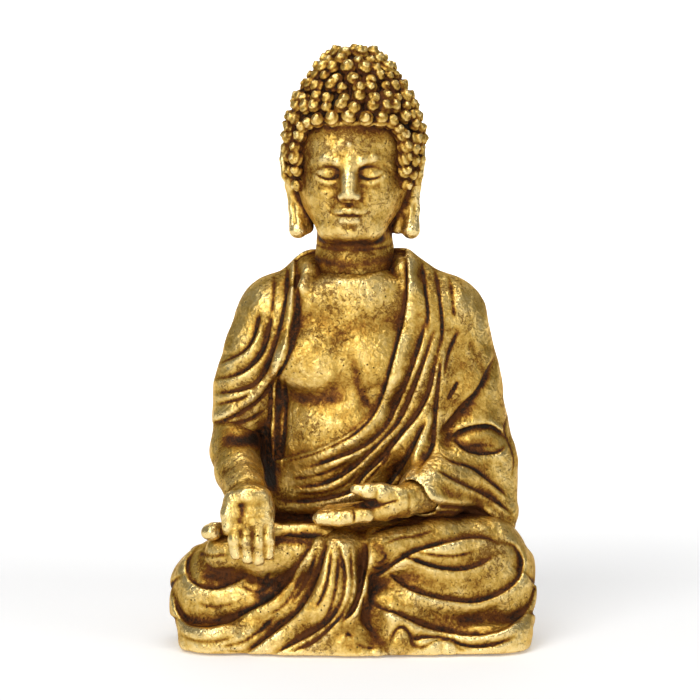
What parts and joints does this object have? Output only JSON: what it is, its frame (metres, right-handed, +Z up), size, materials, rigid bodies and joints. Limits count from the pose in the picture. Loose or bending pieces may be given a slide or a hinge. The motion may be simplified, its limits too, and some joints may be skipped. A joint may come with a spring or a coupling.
{
  "type": "buddha statue",
  "caption": "Small seated buddha figure in a draped robe, one hand reaching down over the shin and one resting in the lap, standing free on a closed base with felt pads.",
  "frame": {"origin": "on the floor, under the middle of the object's bounding box", "axes": "+Z up; the figure faces -Y, so its left hand is towards +X"},
  "size_m": [0.1106, 0.0739, 0.18],
  "materials": {
    "gold_body": "worn antique gold paint with a brown wash in the folds, semi-gloss",
    "gold_head": "worn antique gold paint with a brown wash, semi-gloss",
    "gold_hair": "antique gold paint, dark brown between the curls",
    "gold_right_hand": "worn antique gold paint with brown creases",
    "gold_left_hand": "worn antique gold paint with brown creases",
    "gold_foot": "worn antique gold paint with brown creases",
    "key_wood": "bare hardwood",
    "plate_board": "bare fibre board",
    "felt": "black felt"
  },
  "bodies": {
    "root": {"body_shell": "gold_body", "head": "gold_head", "hair_curls": "gold_hair", "neck_key": "key_wood", "right_forearm": "gold_right_hand", "left_hand": "gold_left_hand", "foot": "gold_foot", "base_plate": "plate_board", "felt_pads": "felt"}
  },
  "joints": []
}
